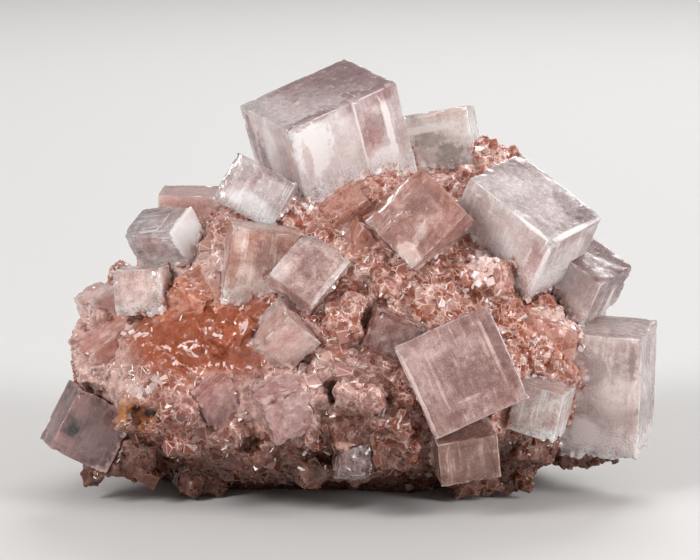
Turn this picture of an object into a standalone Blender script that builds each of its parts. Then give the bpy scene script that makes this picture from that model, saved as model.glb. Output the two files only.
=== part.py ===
"""A cluster of pink halite cubes on its sugary halite matrix, at its real size.

The matrix is one lumpy mound, cut flat underneath, with the small crystals that grow on it joined
to it. Each large crystal is a solid of its own in a pocket of the matrix, and crystals that grew
through one another are one solid. +X is to the right, -Y is the front and +Z is up. The origin is
at the level of the flat base, under the middle of the whole cluster's box, and the places below
are within half a millimetre of that frame. Lengths are in millimetres until `to_metres`.
"""

import math
import random
from collections import namedtuple

import bmesh
import bpy
from mathutils import Euler, Matrix, Vector, noise

to_metres = 0.001
gap = 0.3  # between a crystal and its pocket, as touching meshes keep
ledges_deep = (0.2, 0.6)  # the growth ledges along a crystal's edges
chips_wide = (1.2, 2.4)  # the chips off its corners

# ---------------------------------------------------------------- the large crystals

# A block is one cubic crystal: the place of its middle, its edge lengths along its own X, Y and Z,
# and its turns in degrees about the world's X, Y and Z.
Block = namedtuple("Block", "place size turn")

CRYSTALS = {
    "crown_crystal": [
        Block((-4.1, 6.3, 67.3), (24.3, 19.8, 21.1), (9, -20, 27)),
        Block((2.0, 9.0, 69.9), (10.2, 20.0, 21.2), (9, -20, 27)),
    ],
    "back_crystal": [Block((16.6, 23.6, 64.4), (17.9, 13.0, 13.6), (-6, -10, -9))],
    "right_crystal_group": [
        Block((33.1, -5.1, 51.4), (21.6, 16.0, 17.4), (13, 31, -35)),
        Block((43.4, -0.9, 41.6), (16.6, 11.0, 13.8), (13, 30, -33)),
        Block((49.6, -6.0, 20.7), (16.6, 15.0, 25.2), (5, 2, -17)),
    ],
    "front_crystal_group": [
        Block((20.7, -29.2, 28.7), (18.9, 17.0, 18.7), (-13, -24, 3)),
        Block((36.1, -22.7, 20.7), (9.6, 9.0, 9.6), (1, 13, -20)),
        Block((21.3, -27.1, 13.6), (11.5, 10.0, 9.0), (14, -8, 9)),
    ],
    "centre_crystal": [Block((13.5, -12.6, 54.4), (13.2, 9.5, 14.9), (-26, 39, -31))],
    "left_centre_pair": [
        Block((-16.8, -15.9, 46.5), (14.0, 8.4, 15.2), (4, 9, 9)),
        Block((-8.1, -19.8, 45.0), (10.4, 11.0, 11.8), (-38, 35, -15)),
    ],
    "shoulder_crystal": [Block((-17.9, -6.3, 59.1), (13.3, 4.8, 10.3), (-20, 24, -20))],
    "left_crystal": [
        Block((-34.8, -4.9, 49.8), (10.9, 8.4, 8.6), (29, -11, -34)),
        Block((-37.0, -2.6, 50.2), (8.4, 8.6, 8.0), (29, -11, -34)),
    ],
    "left_back_crystal": [Block((-30.6, 9.4, 51.6), (13.6, 11.0, 11.4), (3, 1, -3))],
    "left_low_crystal": [Block((-39.3, -11.4, 41.0), (9.7, 8.0, 9.0), (-4, -6, -14))],
    "foot_crystal": [Block((-50.2, -15.2, 15.1), (12.6, 9.0, 12.8), (-1, 29, 18))],
}

# Crystals of middling size that stay joined to the matrix.
GROWN_ON = [
    # on the front
    Block((-12.6, -24.5, 34.8), (7.6, 8.0, 8.0), (22, 40, 26)),
    Block((-25.6, -24.5, 23.4), (7.0, 8.0, 8.2), (12, -27, 18)),
    Block((-12.5, -30.5, 22.5), (8.0, 9.0, 8.4), (12, -21, 16)),
    Block((7.6, -23.5, 35.1), (9.5, 8.0, 7.5), (3, 25, 8)),
    Block((0.3, -29.5, 11.6), (5.6, 7.0, 5.4), (-20, 2, 11)),
    # at the left end
    Block((-45.8, -6.5, 28.6), (10.4, 11.0, 10.0), (10, -38, 20)),
    Block((-48.2, -3.0, 35.4), (6.4, 7.0, 8.0), (8, -22, 24)),
    Block((-49.4, -1.0, 31.6), (6.0, 8.0, 6.0), (-10, 30, -12)),
    # under the back crystal, and among the right ones
    Block((27.4, 19.0, 60.2), (8.0, 9.0, 8.6), (12, 24, -20)),
    Block((23.4, 16.0, 55.6), (11.0, 10.0, 11.0), (6, -12, 14)),
    Block((36.4, -9.0, 30.4), (10.0, 12.0, 11.0), (6, 18, 12)),
    Block((45.0, -2.0, 10.8), (12.0, 12.0, 9.0), (8, -4, 16)),
    # along the foot
    Block((34.0, -12.0, 11.6), (8.0, 9.0, 8.0), (-12, 14, 24)),
    Block((23.0, -10.0, 6.0), (9.0, 10.0, 8.0), (10, -8, 12)),
    Block((31.0, -8.0, 5.6), (8.0, 9.0, 7.0), (8, -18, -16)),
    Block((-29.0, -8.6, 6.0), (9.4, 9.0, 8.0), (14, 8, 20)),
    Block((-41.0, -12.0, 9.6), (10.0, 10.0, 8.0), (10, 12, -14)),
    Block((-47.5, -14.0, 9.4), (7.6, 8.0, 7.0), (-8, -20, 22)),
    # between the upper crystals
    Block((2.5, -9.0, 49.0), (8.0, 8.0, 8.0), (18, 32, 22)),
    Block((-0.5, -4.0, 54.5), (8.0, 8.0, 7.0), (22, -28, 14)),
    Block((-29.0, -13.0, 39.0), (8.0, 8.0, 8.0), (16, 24, -30)),
    # on the back
    Block((-22.0, 25.0, 46.0), (13.0, 11.0, 12.0), (-12, 14, 18)),
    Block((4.0, 29.0, 47.0), (12.0, 12.0, 12.0), (20, 28, -14)),
    Block((33.0, 24.0, 41.0), (13.0, 12.0, 11.0), (8, -20, 30)),
    Block((-38.0, 24.0, 25.0), (12.0, 11.0, 11.0), (14, 22, 12)),
    Block((18.0, 31.0, 24.0), (11.0, 10.0, 10.0), (-16, 34, 20)),
]

# ---------------------------------------------------------------- the matrix

# The mound's rings: height, then how far it reaches to the left, right, front and back.
Ring = namedtuple("Ring", "height left right front back")

RINGS = [
    Ring(-2, -37, 30, -3, 23),
    Ring(1, -41, 33, -6, 26),
    Ring(4, -46, 37, -13, 28),
    Ring(9, -50, 42, -22, 30),
    Ring(16, -52, 45, -29, 32),
    Ring(24, -52, 46, -30, 33),
    Ring(33, -49, 44, -27, 32),
    Ring(42, -41, 39, -20, 30),
    Ring(49, -34, 34, -14, 28),
    Ring(55, -27, 27, -9, 26),
    Ring(60, -16, 20, -2, 22),
    Ring(63, -7, 12, 3, 16),
]
ring_points = 52
ring_steps = 2  # rings made for each one listed, the extra ones halfway between
squareness = 2.3  # 2 is an ellipse, and more has fuller corners
lump_width, lump_height = 17.0, 3.4
cobble_width, cobble_height = 10.0, 5.5
cobble_level = 0.42  # the share of its width from a cobble's middle at which it meets the mound

slab = 40.0  # thickness of the block that cuts the foot flat

small_crystals = 86
small_edges = (3.0, 7.6)
bare_foot = 4.0  # no small crystal reaches lower than this
standing_out = 0.12  # how far a small crystal's middle is outside the mound, as a share of its edge
seed = 41

# Hollows left by dissolved crystals, the first beside the rusty stain on the left, and the last the
# gap between the crown and the back crystal.
HOLLOWS = [
    Block((-39.2, -22.4, 19.0), (5.4, 5.0, 4.4), (10, 20, 15)),
    Block((-8.9, -28.0, 30.4), (4.0, 5.0, 4.0), (30, 20, 10)),
    Block((-2.4, -29.8, 24.2), (4.6, 5.0, 4.6), (10, 30, 12)),
    Block((-18.3, -27.2, 14.2), (4.4, 5.0, 3.8), (14, 8, 30)),
    Block((11.0, -21.6, 9.8), (5.0, 5.0, 4.0), (0, 18, 20)),
    Block((17.4, 10.6, 66.7), (12.0, 12.0, 10.4), (-6, -10, -9)),
]


def turned(block):
    """The matrix that turns and moves a shape from the origin to the block's place."""
    angles = [math.radians(angle) for angle in block.turn]
    return Matrix.Translation(block.place) @ Euler(angles).to_matrix().to_4x4()


def as_object(name, shape):
    """The bmesh as an object of that name, in the scene."""
    mesh = bpy.data.meshes.new(name)
    shape.to_mesh(mesh)
    shape.free()
    made = bpy.data.objects.new(name, mesh)
    bpy.context.scene.collection.objects.link(made)
    return made


def box(name, block, low=(0, 0, 0), high=(0, 0, 0)):
    """A cuboid at the block's place, cut back by `low` and `high` from its faces along each axis."""
    shape = bmesh.new()
    bmesh.ops.create_cube(shape, size=1.0)
    for vertex in shape.verts:
        for k, length in enumerate(block.size):
            vertex.co[k] = length / 2 - high[k] if vertex.co[k] > 0 else low[k] - length / 2
    shape.transform(turned(block))
    return as_object(name, shape)


def combine(target, operation, others):
    """Joins the other objects to the target, or cuts them from it, all at once, and removes them."""
    group = bpy.data.collections.new("operands")
    bpy.context.scene.collection.children.link(group)
    for other in others:
        group.objects.link(other)
    boolean = target.modifiers.new(operation, "BOOLEAN")
    boolean.operation = operation
    boolean.solver = "EXACT"
    boolean.operand_type = "COLLECTION"
    boolean.collection = group
    graph = bpy.context.evaluated_depsgraph_get()
    result = bpy.data.meshes.new_from_object(target.evaluated_get(graph))
    target.modifiers.clear()
    target.data = result
    for other in list(group.objects):
        bpy.data.objects.remove(other)
    bpy.data.collections.remove(group)


def keep_largest(target):
    """Removes the crumbs that a cut has freed from the target."""
    shape = bmesh.new()
    shape.from_mesh(target.data)
    bodies = []
    waiting = set(shape.verts)
    while waiting:
        body = {waiting.pop()}
        edge_of_body = list(body)
        while edge_of_body:
            vertex = edge_of_body.pop()
            for edge in vertex.link_edges:
                other = edge.other_vert(vertex)
                if other not in body:
                    body.add(other)
                    edge_of_body.append(other)
        waiting -= body
        bodies.append(body)
    largest = max(bodies, key=len)
    crumbs = [vertex for vertex in shape.verts if vertex not in largest]
    bmesh.ops.delete(shape, geom=crumbs, context="VERTS")
    shape.to_mesh(target.data)
    shape.free()


def ledged_boxes(name, block, chance):
    """Three crossing boxes that fill the block's length along one axis each, cut back on the others."""
    boxes = []
    for axis in range(3):
        cuts = [[chance.uniform(*ledges_deep) for _ in range(3)] for _ in range(2)]
        for side in cuts:
            side[axis] = 0.0
        boxes.append(box(name, block, *cuts))
    return boxes


def corner_chips(block, chance, how_many=3):
    """Small turned boxes on some of the block's corners, to cut them off."""
    chips = []
    corners = [(x, y, z) for x in (-1, 1) for y in (-1, 1) for z in (-1, 1)]
    for corner in chance.sample(corners, how_many):
        reach = Vector([side * length / 2 for side, length in zip(corner, block.size)])
        place = turned(block) @ reach
        width = chance.uniform(*chips_wide)
        turn = [angle + chance.uniform(30, 60) for angle in block.turn]
        chips.append(box("chip", Block(tuple(place), (width, width, width), turn)))
    return chips


def crystal(name, blocks, chance):
    """One named crystal or intergrown pair: ledged cubes joined into one solid, with chipped corners."""
    parts = [part for block in blocks for part in ledged_boxes(name, block, chance)]
    made = parts[0]
    combine(made, "UNION", parts[1:])
    combine(made, "DIFFERENCE", [chip for block in blocks for chip in corner_chips(block, chance)])
    keep_largest(made)
    return made


def pocket(block):
    """The block grown by the gap, to cut the crystal's place from the matrix."""
    return box("pocket", Block(block.place, [length + 2 * gap for length in block.size], block.turn))


def ring_vertex(ring, turn):
    """The mound's point on a ring at a turn from 0 to 1, lumps included."""
    angle = 2 * math.pi * turn
    across, along = math.cos(angle), math.sin(angle)
    full_across = math.copysign(abs(across) ** (2 / squareness), across)
    full_along = math.copysign(abs(along) ** (2 / squareness), along)
    point = Vector((
        (ring.left + ring.right + full_across * (ring.right - ring.left)) / 2,
        (ring.front + ring.back + full_along * (ring.back - ring.front)) / 2,
        ring.height,
    ))
    outward = Vector((across, along, 0.0))
    lump = noise.noise(point / lump_width) * lump_height
    to_middle = noise.voronoi(point / cobble_width, distance_metric="CHEBYCHEV")[0][0]
    return point + outward * (lump + (cobble_level - to_middle) * cobble_height)


def all_rings():
    """The listed rings with evenly blended ones between them."""
    rings = []
    for lower, upper in zip(RINGS, RINGS[1:]):
        for step in range(ring_steps):
            share = step / ring_steps
            rings.append(Ring(*[a + (b - a) * share for a, b in zip(lower, upper)]))
    return rings + [RINGS[-1]]


def mound():
    """The bare matrix, bridged from ring to ring and closed above and below."""
    shape = bmesh.new()
    loops = []
    for ring in all_rings():
        turns = [k / ring_points for k in range(ring_points)]
        loops.append([shape.verts.new(ring_vertex(ring, turn)) for turn in turns])
    for lower, upper in zip(loops, loops[1:]):
        for k in range(ring_points):
            after = (k + 1) % ring_points
            shape.faces.new((lower[k], lower[after], upper[after], upper[k]))
    shape.faces.new(list(reversed(loops[0])))
    middle = Vector((2.5, 9.5, RINGS[-1].height + 1.0))
    peak = shape.verts.new(middle)
    for k in range(ring_points):
        shape.faces.new((loops[-1][k], loops[-1][(k + 1) % ring_points], peak))
    bmesh.ops.triangulate(shape, faces=shape.faces)
    return as_object("matrix", shape)


def clear_of_crystals(place, reach):
    """Whether a place is farther than `reach` from every large crystal."""
    for block in (block for blocks in CRYSTALS.values() for block in blocks):
        local = turned(block).inverted() @ place
        if all(abs(local[k]) < block.size[k] / 2 + reach for k in range(3)):
            return False
    return True


def small_cubes(skin, chance):
    """Small crystals spread evenly over the mound, each sunk in it and turned its own way."""
    faces = list(skin.data.polygons)
    areas = [face.area for face in faces]
    cubes = []
    while len(cubes) < small_crystals:
        face = chance.choices(faces, areas)[0]
        corners = [skin.data.vertices[k].co for k in face.vertices]
        shares = [chance.random() + 0.05 for _ in corners]
        spot = sum((c * share for c, share in zip(corners, shares)), Vector()) / sum(shares)
        edge = chance.uniform(*small_edges)
        place = spot + face.normal * edge * standing_out
        if place.z - edge * 0.7 > bare_foot and clear_of_crystals(place, edge * 0.6):
            size = [edge * chance.uniform(0.8, 1.15) for _ in range(3)]
            turn = [chance.uniform(-45, 45) for _ in range(3)]
            cubes.append(box("small_crystal", Block(tuple(place), size, turn)))
    return cubes


def grown_matrix():
    """The mound with its small crystals, cut flat below and pocketed for the large ones."""
    chance = random.Random(seed)
    made = mound()
    grown = [box("grown_on", block) for block in GROWN_ON]
    combine(made, "UNION", grown + small_cubes(made, chance))
    below = Block((0, 0, -slab / 2), (4 * slab, 4 * slab, slab), (0, 0, 0))
    pockets = [pocket(block) for blocks in CRYSTALS.values() for block in blocks]
    combine(made, "DIFFERENCE", [box("below", below)])
    combine(made, "DIFFERENCE", [box("hollow", block) for block in HOLLOWS])
    combine(made, "DIFFERENCE", pockets)
    keep_largest(made)
    return made


def centre_over_origin(pieces):
    """Moves the pieces together, sideways only, until the middle of their box is at the origin."""
    points = [vertex.co for piece in pieces for vertex in piece.data.vertices]
    middle = Vector((0.0, 0.0, 0.0))
    for k in (0, 1):
        middle[k] = (min(point[k] for point in points) + max(point[k] for point in points)) / 2
    for piece in pieces:
        piece.data.transform(Matrix.Translation(-middle))


def halite(name, colour, roughness, alpha):
    """A see-through halite material."""
    material = bpy.data.materials.new(name)
    material.use_nodes = True
    surface = material.node_tree.nodes["Principled BSDF"]
    surface.inputs["Base Color"].default_value = (*colour, 1.0)
    surface.inputs["Roughness"].default_value = roughness
    surface.inputs["Metallic"].default_value = 0.0
    surface.inputs["IOR"].default_value = 1.544
    surface.inputs["Alpha"].default_value = alpha
    return material


CLEAR_PINK = ((0.86, 0.66, 0.64), 0.12, 0.75)
MAUVE_PINK = ((0.66, 0.44, 0.43), 0.15, 0.85)
RED_PINK = ((0.68, 0.34, 0.28), 0.18, 0.9)
MILKY_PINK = ((0.70, 0.53, 0.50), 0.2, 0.9)
ORANGE_PINK = ((0.62, 0.33, 0.25), 0.3, 1.0)

FINISHES = {
    "crown_crystal": CLEAR_PINK,
    "back_crystal": MILKY_PINK,
    "right_crystal_group": CLEAR_PINK,
    "front_crystal_group": MAUVE_PINK,
    "centre_crystal": RED_PINK,
    "left_centre_pair": RED_PINK,
    "shoulder_crystal": CLEAR_PINK,
    "left_crystal": CLEAR_PINK,
    "left_back_crystal": MAUVE_PINK,
    "left_low_crystal": MILKY_PINK,
    "foot_crystal": MAUVE_PINK,
    "matrix": ORANGE_PINK,
}


def main():
    for old in list(bpy.data.objects):
        bpy.data.objects.remove(old)
    chance = random.Random(seed + 1)
    made = [crystal(name, blocks, chance) for name, blocks in CRYSTALS.items()]
    made.append(grown_matrix())
    centre_over_origin(made)
    for piece in made:
        piece.data.transform(Matrix.Scale(to_metres, 4))
        piece.data.materials.clear()
        piece.data.materials.append(halite(f"{piece.name}_halite", *FINISHES[piece.name]))


main()
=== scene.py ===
"""A cluster of pink halite cubes on their sugary matrix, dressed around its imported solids.

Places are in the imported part's own frame, in metres: +X to the right, -Y to the front, +Z up.
"""

import itertools
import math
import random

import bmesh
import bpy
import numpy as np
from mathutils import Euler, Matrix, Vector, noise
from mathutils.bvhtree import BVHTree


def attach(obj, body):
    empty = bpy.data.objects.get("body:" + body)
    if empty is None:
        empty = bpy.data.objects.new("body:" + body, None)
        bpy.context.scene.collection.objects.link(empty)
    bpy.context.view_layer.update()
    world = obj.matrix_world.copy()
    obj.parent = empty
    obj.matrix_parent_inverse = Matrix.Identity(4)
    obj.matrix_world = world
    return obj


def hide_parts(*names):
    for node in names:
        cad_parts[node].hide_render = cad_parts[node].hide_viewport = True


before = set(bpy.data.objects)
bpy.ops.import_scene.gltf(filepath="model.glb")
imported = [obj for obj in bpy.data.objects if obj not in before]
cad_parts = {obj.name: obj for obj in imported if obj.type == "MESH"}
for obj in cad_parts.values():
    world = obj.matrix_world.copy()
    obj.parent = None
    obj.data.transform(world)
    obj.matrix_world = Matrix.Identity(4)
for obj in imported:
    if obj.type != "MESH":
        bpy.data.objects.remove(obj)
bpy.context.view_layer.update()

# ------------------------------------------------------------------ the matrix
# The mound is one mass of halite grains grown together. It is a fine, lumpy skin here, sealed
# round the foot of every large crystal, and it is cut flat where it broke off its bed.

mm = 0.001


halite_ior = 1.544


class Wire:
    """One output of a material's nodes. Sums on it add Math nodes."""

    def __init__(self, finish, socket):
        self.finish, self.socket = finish, socket

    def math(self, operation, *terms):
        return self.finish.node("Math", {"operation": operation}, dict(enumerate(terms)))

    def __add__(self, other):
        return self.math("ADD", self, other)

    def __sub__(self, other):
        return self.math("SUBTRACT", self, other)

    def __rsub__(self, other):
        return self.math("SUBTRACT", other, self)

    def __mul__(self, other):
        return self.math("MULTIPLY", self, other)

    def __truediv__(self, other):
        return self.math("DIVIDE", self, other)

    __radd__, __rmul__ = __add__, __mul__

    def lesser(self, other):
        return self.math("MINIMUM", self, other)

    def greater(self, *others):
        """The greatest of it and the others."""
        most = self
        for other in others:
            most = most.math("MAXIMUM", most, other)
        return most


def socket_of(sockets, key):
    """A node's socket by its identifier, or else by its name or number."""
    found = [socket for socket in sockets if socket.identifier == key]
    return found[0] if found else sockets[key]


class Finish:
    """A material and the nodes that make it."""

    def __init__(self, name):
        self.material = bpy.data.materials.new(name)
        self.material.use_nodes = True
        self.tree = self.material.node_tree
        self.tree.nodes.clear()
        self.end = self.tree.nodes.new("ShaderNodeOutputMaterial")
        self.here = self.node("TexCoord", out="Object")

    def node(self, kind, settings=None, sockets=None, out=0):
        """Adds one node: its settings first, then the values or links of its sockets."""
        made = self.tree.nodes.new("ShaderNode" + kind)
        for key, value in (settings or {}).items():
            setattr(made, key, value)
        for key, value in (sockets or {}).items():
            socket = socket_of(made.inputs, key)
            if isinstance(value, Wire):
                self.tree.links.new(value.socket, socket)
            else:
                socket.default_value = (*value, 1.0) if socket.type == "RGBA" else value
        return Wire(self, socket_of(made.outputs, out))

    def vector(self, operation, first, second=None, out="Vector"):
        terms = {0: first}
        if second is not None:
            terms["Scale" if operation == "SCALE" else 1] = second
        return self.node("VectorMath", {"operation": operation}, terms, out)

    def part(self, vector, axis):
        return self.node("SeparateXYZ", {}, {"Vector": vector}, axis)

    def carried(self, name):
        """A number that the mesh's own points carry."""
        return self.node("Attribute", {"attribute_name": name}, out="Fac")

    def each_grain(self):
        """A number that is the same all over one loose grain, and different on the next."""
        return self.node("NewGeometry", out="Random Per Island")

    def place(self, scale, about=(0, 0, 0), where=None, turn=(0, 0, 0)):
        """Coordinates that are moved, turned and scaled about a point."""
        terms = {"Vector": where or self.here, "Location": about, "Rotation": turn, "Scale": scale}
        return self.node("Mapping", {"vector_type": "TEXTURE"}, terms)

    def clouds(self, spot, scale, detail, roughness=0.5, out="Fac"):
        """Cloudy noise from 0 to 1."""
        terms = {"Vector": spot, "Scale": scale, "Detail": detail, "Roughness": roughness}
        return self.node("TexNoise", {}, terms, out)

    def noise(self, width, detail=3.0, out="Fac"):
        """Cloudy noise with lumps about `width` millimetres across."""
        return self.clouds(self.place([width * mm] * 3), 1.0, detail, 0.55, out)

    def cells(self, spot, feature="DISTANCE_TO_EDGE", out="Distance", uneven=1.0):
        terms = {"Vector": spot, "Scale": 1.0, "Randomness": uneven}
        return self.node("TexVoronoi", {"feature": feature}, terms, out)

    def grains(self, width, where):
        """Grains `width` millimetres across: how far their boundary is, and a colour for each."""
        spot = self.place([width * mm] * 3, where=where)
        return self.cells(spot), self.cells(spot, "F1", "Color")

    def pushed(self, by, colour, reach):
        """A vector that is pushed either way by a random colour."""
        centred = self.vector("SUBTRACT", colour, (0.5, 0.5, 0.5))
        return self.vector("ADD", by, self.vector("SCALE", centred, reach))

    def warped(self, reach, width):
        """The surface's own coordinates, pushed about by up to half of `reach` millimetres."""
        return self.pushed(self.here, self.noise(width, 2.0, "Color"), reach * mm)

    def leaning(self, over, own, lean):
        """The surface's direction, leaning a different way on every grain by its `own` colour."""
        return self.vector("NORMALIZE", self.pushed(over, own, lean))

    def ramp(self, value, low, high):
        """0 below `low`, 1 above `high` and smooth between. With `low` above `high` it falls."""
        terms = {"Value": value, "From Min": min(low, high), "From Max": max(low, high)}
        if low > high:
            terms.update({"To Min": 1.0, "To Max": 0.0})
        return self.node("MapRange", {"interpolation_type": "SMOOTHSTEP"}, terms)

    def mix(self, first, second, share):
        """A colour between two, by a share from 0 to 1."""
        terms = {"Factor_Float": share, "A_Color": first, "B_Color": second}
        return self.node("Mix", {"data_type": "RGBA"}, terms, "Result_Color")

    def coated(self, colour, *coats):
        """A colour under thin coats, each a colour and how much of it covers."""
        for coat, share in coats:
            colour = self.mix(colour, coat, share)
        return colour

    def patch(self, middle, reach, ragged=0.5):
        """1 within a soft-edged, ragged ellipsoid about a point, and 0 beyond it; in millimetres."""
        spot = self.place([side * mm for side in reach], [side * mm for side in middle])
        return self.within(spot, (self.noise(4.0) - 0.5) * ragged, 0.35)

    def within(self, spot, torn, soft):
        """1 where a place is less than 1 from the origin, with a soft edge pushed about by `torn`."""
        away = self.vector("LENGTH", spot, out="Value")
        return self.ramp(away + torn, 1.0 + soft, 1.0 - soft)

    def bump(self, height, strength, distance):
        terms = {"Height": height, "Strength": strength, "Distance": distance * mm}
        return self.node("Bump", {}, terms)

    def skin(self, IOR=halite_ior, **sockets):
        """A Principled shader. Socket names are written with underscores."""
        named = {key.replace("_", " "): value for key, value in sockets.items()}
        return self.node("BsdfPrincipled", {}, {"IOR": IOR, **named})

    def blend(self, first, second, share):
        return self.node("MixShader", {}, {"Fac": share, 1: first, 2: second})

    def done(self, surface, volume=None):
        self.tree.links.new(surface.socket, self.end.inputs["Surface"])
        if volume:
            self.tree.links.new(volume.socket, self.end.inputs["Volume"])
        return self.material


# the matrix's colours, waxy orange to brown foot; the foot's dark is partly painted shade, and the
# darkest is painted shade in pores and pits
waxy_orange = (0.38, 0.072, 0.014)
grain_pink = (0.37, 0.098, 0.054)
pale_pink = (0.68, 0.42, 0.37)
lavender = (0.54, 0.31, 0.28)
foot_brown_and_shade = (0.10, 0.023, 0.007)
umber = (0.15, 0.042, 0.019)
warm_brown = (0.34, 0.092, 0.045)
pore_shade = (0.04, 0.015, 0.01)
rust = (0.50, 0.17, 0.015)
seam_pink = (0.95, 0.69, 0.61)
frost_white = (0.92, 0.78, 0.74)
crust_pink = (0.78, 0.44, 0.36)

# the smooth waxy patch on the front: its middle and its reach in millimetres
waxy_patch = ((-27.0, -22.0, 33.0), (17.0, 18.0, 9.0))


def matrix_zones(finish):
    """The colour of the matrix from its place on the mound, and how waxy and how brown it is; the
    brown foot is darker partly by its own colour and partly by painted shade.
    """
    torn = 0.9
    drift = finish.noise(9.0)
    back, height = [finish.part(finish.here, axis) / mm for axis in "YZ"]
    foot = finish.ramp(height + (drift - 0.5) * 22.0, 25.0, 8.0)
    waxy = finish.patch((-28.0, -21.0, 34.0), (17.0, 16.0, 8.0))
    waxy_right = finish.patch((36.0, -14.0, 32.0), (8.0, 14.0, 8.0))
    warm = finish.patch((10.0, -22.0, 43.0), (18.0, 18.0, 8.0), torn)
    pale_left = finish.patch((-48.0, -12.0, 28.0), (10.0, 20.0, 17.0), torn)
    pale_high = finish.patch((-34.0, -6.0, 44.0), (14.0, 18.0, 7.0), torn)
    pale_middle = finish.patch((-12.0, -30.0, 25.0), (18.0, 14.0, 8.0), torn)
    low_brown = finish.patch((-1.0, -27.0, 18.5), (8.0, 14.0, 7.0), torn)
    back_warm = finish.ramp(back + (drift - 0.5) * 30.0, 8.0, 26.0) * finish.ramp(drift, 0.4, 0.62)
    colour = finish.coated(
        grain_pink,
        (pale_pink, pale_left.greater(pale_high)),
        (lavender, pale_middle * 0.8),
        (warm_brown, warm * 0.7),
        (waxy_orange, waxy.greater(waxy_right * 0.8, back_warm * 0.6)),
        (umber, low_brown * 0.85),
        # darker towards the foot: partly the matrix's own brown, partly painted shade
        (foot_brown_and_shade, foot * 0.93),
    )
    return colour, waxy, foot.greater(low_brown * 0.9)


def matrix_finish():
    """Its grains are clear, and their middles are painted darker as painted shade, with pale seams
    where they meet. Each is a flat face of its own that leans its own way, so that some catch the
    light."""
    finish = Finish("sugary_matrix")
    colour, waxy, foot = matrix_zones(finish)
    seam, contact = finish.carried("seam"), finish.carried("contact")
    warp = finish.warped(1.3, 1.8)
    large, large_own = finish.grains(2.2, warp)
    small, small_own = finish.grains(1.05, warp)
    shade, small_shade = finish.part(large_own, "X"), finish.part(small_own, "Y")
    veil = finish.noise(3.2, 4.0)
    clear = finish.ramp(shade, 0.6, 0.25) * finish.ramp(large, 0.03, 0.24) * (1 - waxy * 0.7)
    clear_small = finish.ramp(small_shade, 0.4, 0.15) * finish.ramp(small, 0.05, 0.25)
    pale = finish.ramp(shade, 0.7, 0.95).greater(finish.ramp(small_shade, 0.75, 1.0) * 0.7)
    broken = finish.ramp(finish.noise(1.6), 0.38, 0.58)
    fine_broken = finish.ramp(finish.noise(2.3), 0.44, 0.62)
    net = (finish.ramp(large, 0.075, 0.03) * broken).greater(
        finish.ramp(small, 0.11, 0.04) * fine_broken * 0.8, seam * broken * 0.5
    )
    mist = finish.ramp(veil, 0.58, 0.76) * (1 - waxy * 0.95) * (1 - foot * 0.8)
    crust = finish.ramp(contact + (veil - 0.5) * 0.9, 0.5, 1.0) * finish.ramp(shade, 0.1, 0.5)
    # the pores at the foot and the two pits in the stain are painted dark: painted shade in holes
    pore_shading = finish.ramp(finish.noise(1.1, 2.0), 0.62, 0.70) * foot
    stain = finish.patch((-40.4, -21.0, 18.9), (4.0, 6.0, 3.2), 1.0)
    pit_shading = finish.patch((-40.6, -21.0, 19.9), (0.9, 6.0, 0.9), 0.4).greater(
        finish.patch((-38.2, -21.0, 18.8), (1.0, 6.0, 0.8), 0.4)
    )
    colour = finish.coated(
        colour,
        # the middles of clear grains are darkened with painted shade
        (finish.mix(colour, foot_brown_and_shade, 0.5), clear.greater(clear_small * 0.8) * 0.7),
        (pale_pink, pale * 0.5 * (1 - foot * 0.9) * (1 - waxy * 0.95)),
        (seam_pink, net * (1 - waxy * 0.85) * (1 - foot * 0.8) * 0.8),
        (frost_white, mist * 0.2),
        (crust_pink, crust * 0.6),
        (rust, stain * 0.85),
        (pore_shade, pore_shading.greater(pit_shading * 0.95)),
    )
    relief = finish.ramp(large, 0.12, 0.0) * 0.5 + finish.noise(0.7) * 0.35
    bumped = finish.bump(relief, 0.45, 0.3)
    normal = finish.leaning(finish.leaning(bumped, large_own, 0.6), small_own, 0.5)
    cloudy = finish.skin(
        Base_Color=colour, Roughness=small_shade * 0.3 + foot * 0.25 + 0.06, Normal=normal,
        Subsurface_Weight=0.4, Subsurface_Radius=(1.0, 0.36, 0.24), Subsurface_Scale=1.6 * mm,
        Coat_Weight=0.6 - foot * 0.5, Coat_Roughness=0.04,
    )
    return finish.done(cloudy)


def plain_mesh(name, points, faces):
    """A mesh from lists of corners and faces."""
    mesh = bpy.data.meshes.new(name)
    mesh.from_pydata([tuple(point) for point in points], [], [list(face) for face in faces])
    mesh.update()
    return mesh


def as_piece(name, mesh, *materials):
    """The mesh as a piece of the cluster, with its materials."""
    made = bpy.data.objects.new(name, mesh)
    bpy.context.scene.collection.objects.link(made)
    for material in materials:
        mesh.materials.append(material)
    return made


def held(piece, slot="matrix_halite"):
    """The piece stays with the cluster; its `slot` is not used."""
    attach(piece, "root")
    return piece


def baked(piece):
    """The piece's mesh with its modifiers applied, in place of the one it had."""
    graph = bpy.context.evaluated_depsgraph_get()
    result = bpy.data.meshes.new_from_object(piece.evaluated_get(graph))
    piece.modifiers.clear()
    piece.data = result
    return result


def mark_points(mesh, name, values):
    """Writes a number on each of the mesh's points, for its material to read."""
    mesh.attributes.new(name, "FLOAT", "POINT").data.foreach_set("value", values)


def fading(away, reach):
    """1 at no distance, falling evenly to 0 at `reach` and beyond."""
    return max(0.0, 1.0 - away / reach)


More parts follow.
